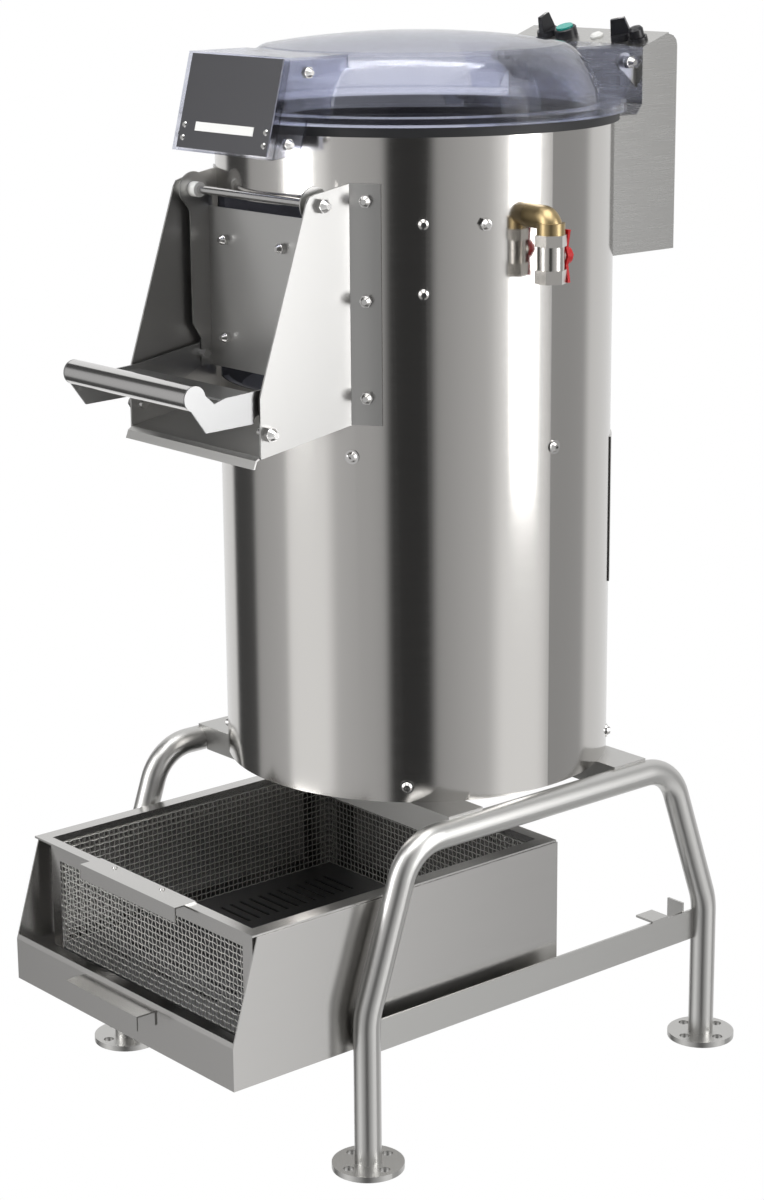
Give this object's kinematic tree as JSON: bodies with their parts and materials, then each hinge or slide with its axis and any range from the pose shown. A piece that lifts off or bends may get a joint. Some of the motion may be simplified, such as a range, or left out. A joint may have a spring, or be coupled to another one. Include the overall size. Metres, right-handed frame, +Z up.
{
  "type": "electric potato peeler",
  "caption": "Floor-standing electric potato peeler: round drum with clear hinged lid, discharge chute door with latch, control box, tube stand, and a waste drawer with mesh basket.",
  "frame": {"origin": "middle of the footprint box, on the floor", "axes": "+Z up, the chute and drawer face -Y, the water inlet is on +X"},
  "size_m": [0.4852, 0.688, 1.0847],
  "materials": {
    "satin_tube": "satin",
    "satin_steel": "satin",
    "brushed_steel": "brushed",
    "polished_steel": "polished",
    "dark_steel": "dull",
    "wire_steel": "dull",
    "clear_plastic": "gloss",
    "white_label": "matt",
    "black_rubber": "matt",
    "white_nylon": "satin",
    "black_plastic": "satin",
    "green_plastic": "gloss",
    "lamp_lens": "gloss",
    "brass": "dull",
    "nickel": "satin",
    "red_plastic": "gloss",
    "abrasive": "rough",
    "cast_metal": "cast",
    "motor_paint": "satin"
  },
  "bodies": {
    "stand_and_body": {"right_leg_frame": "satin_tube", "left_leg_frame": "satin_tube", "foot_flanges": "satin_steel", "cross_members": "satin_steel", "tray_rails": "satin_steel", "body_shell": "brushed_steel", "service_hatch": "brushed_steel", "body_screws": "polished_steel", "base_pan": "satin_steel", "chamber_floor": "satin_steel", "waste_outlet": "satin_steel", "abrasive_liner": "abrasive", "rim_gasket": "black_rubber", "right_chute_side": "brushed_steel", "left_chute_side": "brushed_steel", "chute_spout": "brushed_steel", "door_pivot_rod": "polished_steel", "latch_pins": "polished_steel", "control_box": "brushed_steel", "control_panel": "brushed_steel", "button_bezels": "black_plastic", "indicator_lamp": "lamp_lens", "hinge_brackets": "satin_steel", "cap_nuts": "polished_steel", "cable_gland": "black_plastic", "lid_safety_switch": "black_plastic", "water_elbow": "brass", "valve_body": "nickel", "spray_nozzle": "brass", "bearing_housing": "cast_metal", "shaft_bearings": "satin_steel", "shaft_seal": "black_rubber", "drive_belt": "black_rubber", "motor": "motor_paint", "motor_bracket": "satin_steel"},
    "lid": {"lid_shell": "clear_plastic", "visor_plate": "dark_steel", "visor_label": "white_label", "lid_fasteners": "polished_steel"},
    "door": {"door_panel": "brushed_steel", "door_bushes": "white_nylon", "door_fasteners": "polished_steel"},
    "latch": {"latch_lever": "dark_steel", "latch_handle": "polished_steel"},
    "valve": {"valve_handle": "red_plastic"},
    "disc": {"abrasive_disc": "abrasive", "disc_shaft": "satin_steel", "driven_pulley": "cast_metal"},
    "rotor": {"motor_pulley": "cast_metal", "motor_shaft": "satin_steel"},
    "tray": {"tray_pan": "brushed_steel", "tray_handle": "brushed_steel"},
    "basket": {"basket_frame": "brushed_steel", "basket_mesh": "wire_steel", "basket_floor": "dark_steel", "basket_handle": "brushed_steel"},
    "start": {"start_button": "green_plastic"},
    "stop": {"stop_button": "black_plastic"},
    "power": {"power_knob": "black_plastic"},
    "timer": {"timer_knob": "black_plastic"}
  },
  "joints": [
    {"name": "lid_hinge", "type": "hinge", "parent": "stand_and_body", "child": "lid", "pos_m": [-0.00293, 0.276, 1.041], "axis": [-1, 0, 0], "range_deg": [0, 70]},
    {"name": "door_hinge", "type": "hinge", "parent": "stand_and_body", "child": "door", "pos_m": [-0.00293, -0.136, 0.93], "axis": [-1, 0, 0], "range_deg": [0, 75]},
    {"name": "latch_pivot", "type": "hinge", "parent": "door", "child": "latch", "pos_m": [-0.00293, -0.129, 0.766], "axis": [-1, 0, 0], "range_deg": [-9, 25]},
    {"name": "valve_turn", "type": "hinge", "parent": "stand_and_body", "child": "valve", "pos_m": [0.22704, 0.04032, 0.878], "axis": [0, 1, 0], "range_deg": [0, 90]},
    {"name": "disc_spin", "type": "hinge", "parent": "stand_and_body", "child": "disc", "pos_m": [-0.00293, 0.071, 0.714], "axis": [0, 0, 1], "continuous": true},
    {"name": "motor_spin", "type": "hinge", "parent": "stand_and_body", "child": "rotor", "pos_m": [-0.00293, 0.183, 0.566], "axis": [0, 0, 1], "continuous": true},
    {"name": "tray_slide", "type": "slide", "parent": "stand_and_body", "child": "tray", "axis": [0, -1, 0], "range_m": [-0.12, 0.24]},
    {"name": "basket_lift", "type": "slide", "parent": "tray", "child": "basket", "axis": [0, 0, 1], "range_m": [0, 0.035]},
    {"name": "start_press", "type": "slide", "parent": "stand_and_body", "child": "start", "axis": [0, 0.3343, -0.9425], "range_m": [0, 0.003], "stiffness_N_per_m": 400},
    {"name": "stop_press", "type": "slide", "parent": "stand_and_body", "child": "stop", "axis": [0, 0.3343, -0.9425], "range_m": [0, 0.003], "stiffness_N_per_m": 400},
    {"name": "power_turn", "type": "hinge", "parent": "stand_and_body", "child": "power", "pos_m": [-0.05892, 0.31, 1.06135], "axis": [0, -0.3343, 0.9425], "range_deg": [0, 90]},
    {"name": "timer_turn", "type": "hinge", "parent": "stand_and_body", "child": "timer", "pos_m": [0.05108, 0.31, 1.06135], "axis": [0, -0.3343, 0.9425], "range_deg": [0, 270]}
  ],
  "couplings": [
    {"joint": "motor_spin", "follows": "disc_spin", "ratio": 2.9403}
  ]
}
